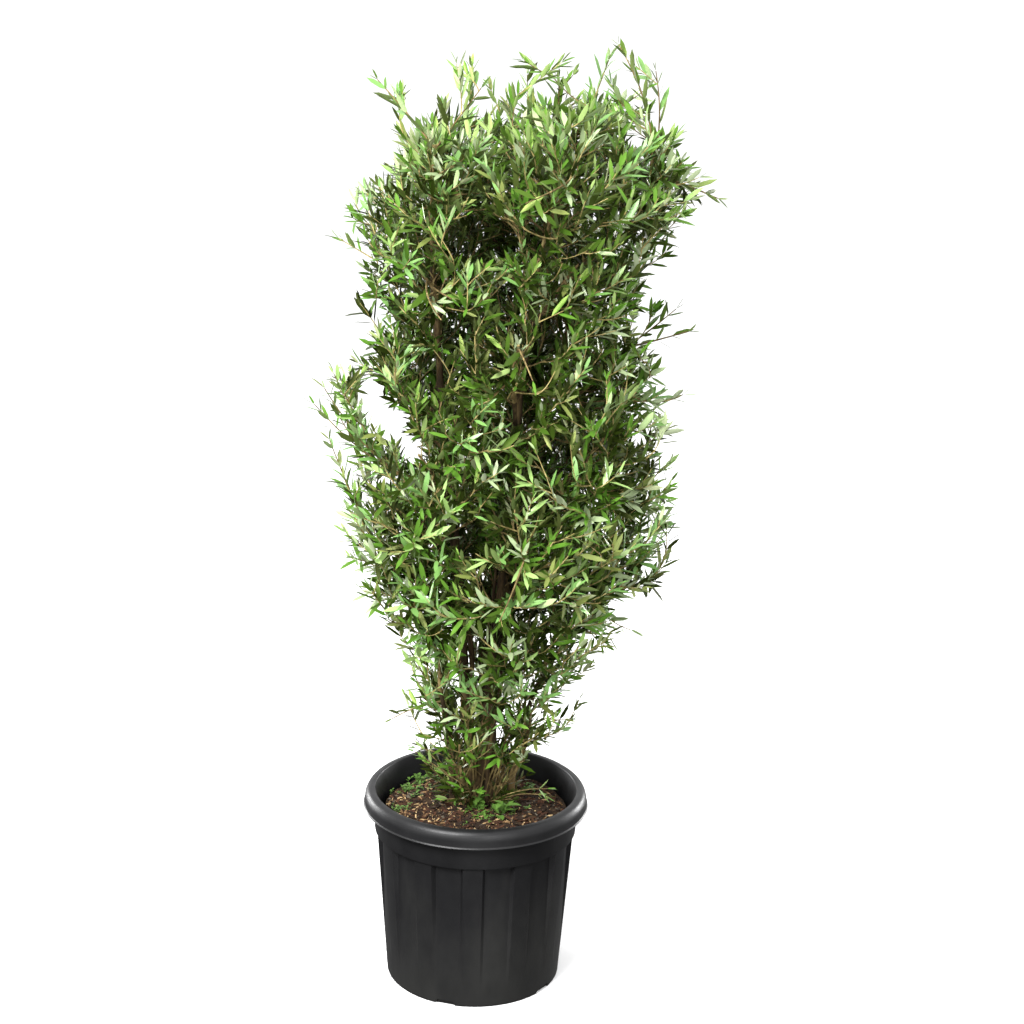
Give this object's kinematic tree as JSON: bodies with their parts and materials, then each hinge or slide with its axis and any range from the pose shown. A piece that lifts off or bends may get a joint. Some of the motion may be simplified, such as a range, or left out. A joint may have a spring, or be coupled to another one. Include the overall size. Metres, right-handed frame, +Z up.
{
  "type": "potted olive bush",
  "caption": "Tall narrow olive bush with several upright stems and a dense leafy crown, in a round black fluted nursery pot.",
  "frame": {"origin": "middle of the pot's flat underside, on the pot's axis", "axes": "+Z up along the pot's axis; the front of the bush, as pictured, faces -Y; +X is to its right in the picture"},
  "size_m": [0.6916, 0.6332, 1.6899],
  "materials": {
    "pot_plastic": "satin",
    "bark_compost": "rough",
    "bark": "rough",
    "foliage": "satin"
  },
  "bodies": {
    "root": {"pot": "pot_plastic", "soil": "bark_compost", "trunk": "bark", "stem_left": "bark", "stem_right": "bark", "stem_back": "bark", "stem_front": "bark", "sucker_right": "bark", "sucker_left": "bark", "bough_1": "bark", "bough_2": "bark", "bough_3": "bark", "bough_4": "bark", "bough_5": "bark", "bough_6": "bark", "bough_7": "bark", "bough_8": "bark", "bough_9": "bark", "bough_10": "bark", "bough_11": "bark", "bough_12": "bark", "bough_13": "bark", "bough_14": "bark", "bough_15": "bark", "bough_16": "bark", "bough_17": "bark", "bough_18": "bark", "bough_19": "bark", "foliage_1_1": "foliage", "foliage_1_2": "foliage", "foliage_1_3": "foliage", "foliage_1_4": "foliage", "foliage_2_1": "foliage", "foliage_2_2": "foliage", "foliage_2_3": "foliage", "foliage_2_4": "foliage", "foliage_3_1": "foliage", "foliage_3_2": "foliage", "foliage_3_3": "foliage", "foliage_3_4": "foliage", "foliage_4_1": "foliage", "foliage_4_2": "foliage", "foliage_4_3": "foliage", "foliage_4_4": "foliage", "foliage_5_1": "foliage", "foliage_5_2": "foliage", "foliage_5_3": "foliage", "foliage_5_4": "foliage", "foliage_6_1": "foliage", "foliage_6_2": "foliage", "foliage_6_3": "foliage", "foliage_6_4": "foliage", "foliage_7_1": "foliage", "foliage_7_2": "foliage", "foliage_7_3": "foliage", "foliage_7_4": "foliage", "foliage_7_5": "foliage"}
  },
  "joints": []
}
